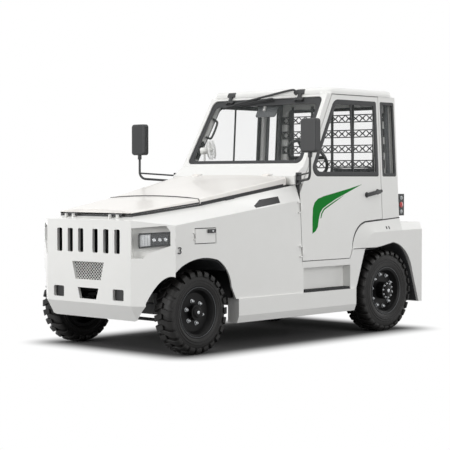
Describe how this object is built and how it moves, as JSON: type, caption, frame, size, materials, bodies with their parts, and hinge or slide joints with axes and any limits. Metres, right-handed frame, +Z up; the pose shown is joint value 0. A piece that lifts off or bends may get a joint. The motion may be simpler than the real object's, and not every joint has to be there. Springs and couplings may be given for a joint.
{
  "type": "electric baggage tractor",
  "caption": "Electric baggage tractor with a closed two-door cab, long sloping hood, slotted nose, steered front wheels and a stepped tow hitch at the rear.",
  "frame": {"origin": "on the ground under the middle of the outline", "axes": "+X forward along the vehicle, +Y to its left, +Z up"},
  "size_m": [3.416, 2.107, 2.085],
  "materials": {
    "white_paint": "gloss",
    "black_paint": "satin",
    "tyre": "matte",
    "steel": "brushed",
    "glass": "clear",
    "black_plastic": "matte",
    "lamp": "gloss",
    "seat_cover": "matte"
  },
  "bodies": {
    "chassis": {"battery_block": "black_plastic", "cab_floor": "black_plastic", "cab_rear_wall": "white_paint", "cab_sides": "white_paint", "chassis_frame": "black_paint", "cowl": "white_paint", "dashboard": "black_plastic", "front_axle": "black_paint", "headlamps": "lamp", "hitch_jaw": "black_paint", "hitch_pin": "steel", "mirrors": "black_plastic", "nose_mesh": "black_paint", "nose_shell": "white_paint", "rear_axle": "black_paint", "rear_deck": "white_paint", "rear_fenders": "white_paint", "rear_glazing": "glass", "rear_guard": "black_paint", "roof": "white_paint", "seat_back": "seat_cover", "seat_base": "black_plastic", "seat_cushion": "seat_cover", "side_panel_left": "white_paint", "side_panel_right": "white_paint", "skirts": "white_paint", "steering_column": "black_plastic", "tail_lamps": "black_plastic", "vent_plates": "black_paint", "windscreen": "glass", "windscreen_frame": "white_paint", "wiper": "black_plastic"},
    "wheel_front_left": {"front_left_rim": "black_paint", "front_left_tyre": "tyre"},
    "wheel_front_right": {"front_right_rim": "black_paint", "front_right_tyre": "tyre"},
    "wheel_rear_left": {"rear_left_rim": "black_paint", "rear_left_tyre": "tyre"},
    "wheel_rear_right": {"rear_right_rim": "black_paint", "rear_right_tyre": "tyre"},
    "knuckle_left": {"knuckle_left": "black_paint"},
    "knuckle_right": {"knuckle_right": "black_paint"},
    "tie_rod": {"tie_rod": "black_paint"},
    "door_left": {"door_left": "white_paint", "door_glass_left": "glass", "door_handle_left": "black_plastic"},
    "door_right": {"door_right": "white_paint", "door_glass_right": "glass", "door_handle_right": "black_plastic"},
    "front_lid": {"front_lid": "white_paint"},
    "hood": {"hood": "white_paint"},
    "charge_flap": {"charge_flap": "white_paint"},
    "steering_wheel": {"steering_wheel": "black_plastic"}
  },
  "joints": [
    {"name": "steer_left", "type": "hinge", "parent": "chassis", "child": "knuckle_left", "pos_m": [1.245, 0.52, 0.32], "axis": [0, 0, 1], "range_deg": [-35, 35]},
    {"name": "steer_right", "type": "hinge", "parent": "chassis", "child": "knuckle_right", "pos_m": [1.245, -0.52, 0.32], "axis": [0, 0, 1], "range_deg": [-35, 35]},
    {"name": "tie_rod_pivot", "type": "hinge", "parent": "knuckle_left", "child": "tie_rod", "pos_m": [1.105, 0.52, 0.215], "axis": [0, 0, 1], "range_deg": [-35, 35]},
    {"name": "front_left_spin", "type": "hinge", "parent": "knuckle_left", "child": "wheel_front_left", "pos_m": [1.245, 0.643, 0.32], "axis": [0, 1, 0], "continuous": true},
    {"name": "front_right_spin", "type": "hinge", "parent": "knuckle_right", "child": "wheel_front_right", "pos_m": [1.245, -0.643, 0.32], "axis": [0, 1, 0], "continuous": true},
    {"name": "rear_left_spin", "type": "hinge", "parent": "chassis", "child": "wheel_rear_left", "pos_m": [-1.085, 0.626, 0.353], "axis": [0, 1, 0], "continuous": true},
    {"name": "rear_right_spin", "type": "hinge", "parent": "chassis", "child": "wheel_rear_right", "pos_m": [-1.085, -0.626, 0.353], "axis": [0, 1, 0], "continuous": true},
    {"name": "door_left_swing", "type": "hinge", "parent": "chassis", "child": "door_left", "pos_m": [0.056, 0.74698, 0.65764], "axis": [0, 0.0532, -0.9986], "range_deg": [0, 75]},
    {"name": "door_right_swing", "type": "hinge", "parent": "chassis", "child": "door_right", "pos_m": [0.056, -0.74698, 0.65764], "axis": [0, 0.0532, 0.9986], "range_deg": [0, 75]},
    {"name": "front_lid_lift", "type": "hinge", "parent": "chassis", "child": "front_lid", "pos_m": [1.648, 0, 1.05], "axis": [0, 1, 0], "range_deg": [0, 60]},
    {"name": "hood_lift", "type": "hinge", "parent": "chassis", "child": "hood", "pos_m": [0.113, 0, 1.356], "axis": [0, -1, 0], "range_deg": [0, 50]},
    {"name": "charge_flap_swing", "type": "hinge", "parent": "chassis", "child": "charge_flap", "pos_m": [1.306, 0.75352, 0.894], "axis": [0, 0, -1], "range_deg": [0, 100]},
    {"name": "steering_wheel_turn", "type": "hinge", "parent": "chassis", "child": "steering_wheel", "pos_m": [-0.53, 0.3, 1.5], "axis": [-0.766, 0, 0.6428], "continuous": true}
  ],
  "couplings": [
    {"joint": "steer_right", "follows": "steer_left", "ratio": 1},
    {"joint": "tie_rod_pivot", "follows": "steer_left", "ratio": -1}
  ]
}
